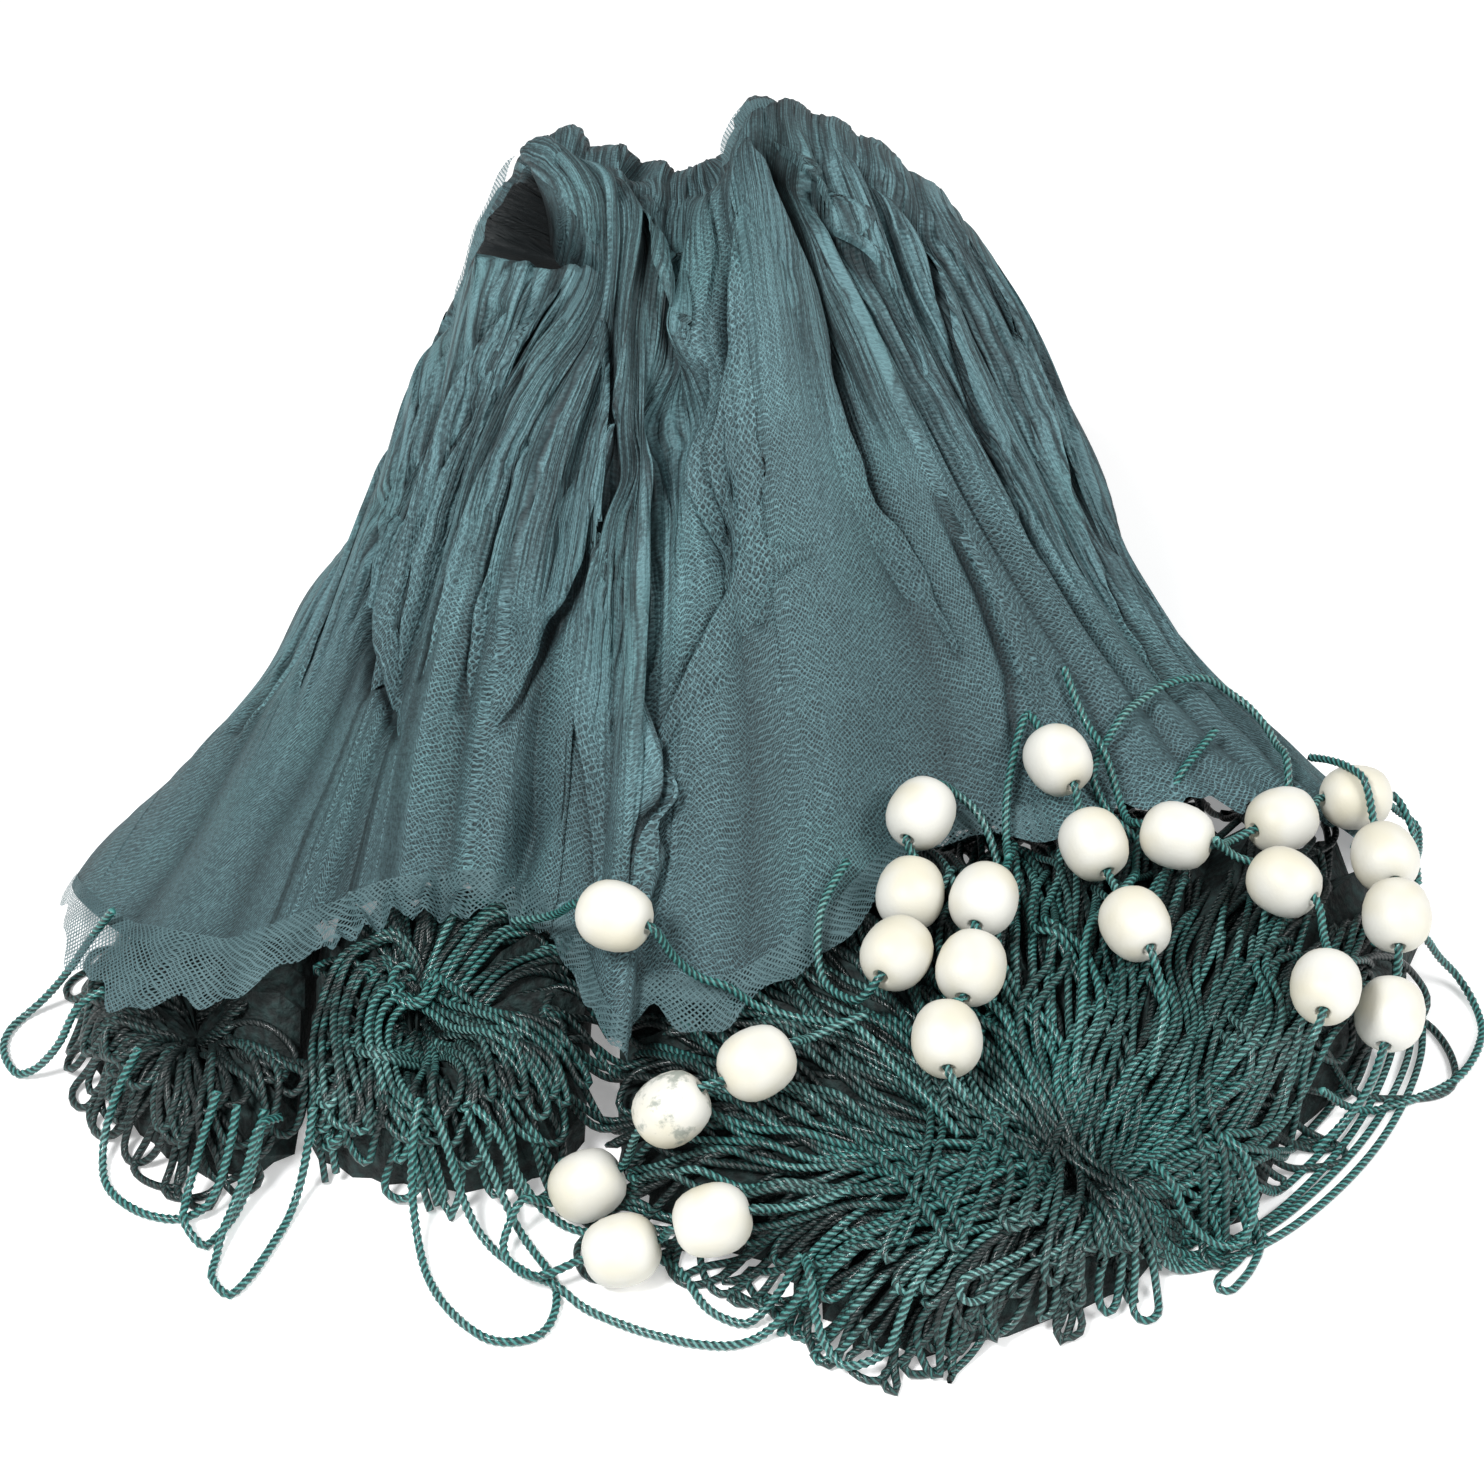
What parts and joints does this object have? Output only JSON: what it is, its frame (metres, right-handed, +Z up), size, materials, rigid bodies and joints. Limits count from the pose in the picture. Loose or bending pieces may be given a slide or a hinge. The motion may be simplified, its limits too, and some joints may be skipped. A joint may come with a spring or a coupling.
{
  "type": "fishing net",
  "caption": "Gathered fishing net heaped over bound hanks of laid rope, with egg floats threaded on its lines.",
  "frame": {"origin": "on the ground under the middle of the heap, measured without the free ropes", "axes": "+Z up from the ground, -Y towards the front of the heap where the ropes and floats lie, +X to its right"},
  "size_m": [0.8973, 0.8333, 0.43],
  "materials": {
    "netting": "matt twine netting, gathered",
    "rope": "three-strand laid rope, slightly shiny",
    "float": "moulded foam, satin, a little soiled"
  },
  "bodies": {
    "root": {"arc_over": "rope", "arc_upper": "rope", "float_beside_1": "float", "float_beside_2": "float", "float_beside_3": "float", "float_column_1": "float", "float_column_2": "float", "float_column_3": "float", "float_edge_1": "float", "float_edge_2": "float", "float_edge_3": "float", "float_hank_1": "float", "float_inner_1": "float", "float_inner_2": "float", "float_right_1": "float", "float_right_2": "float", "float_right_3": "float", "float_ring_1": "float", "float_ring_2": "float", "float_ring_3": "float", "float_ring_4": "float", "float_ring_5": "float", "float_top_1": "float", "float_top_2": "float", "float_top_3": "float", "line_beside": "rope", "line_column": "rope", "line_edge": "rope", "line_hank": "rope", "line_inner": "rope", "line_right": "rope", "line_ring": "rope", "line_top": "rope", "loop_big": "rope", "loop_corner": "rope", "loop_far_left": "rope", "loop_left_long": "rope", "loop_left_low": "rope", "loop_left_round": "rope", "loop_right": "rope", "loop_right_small": "rope", "loop_tip": "rope", "netting": "netting", "rope_hank": "rope", "rope_heap_left": "rope", "rope_sheaf": "rope", "run_inner": "rope", "run_outer": "rope"}
  },
  "joints": []
}
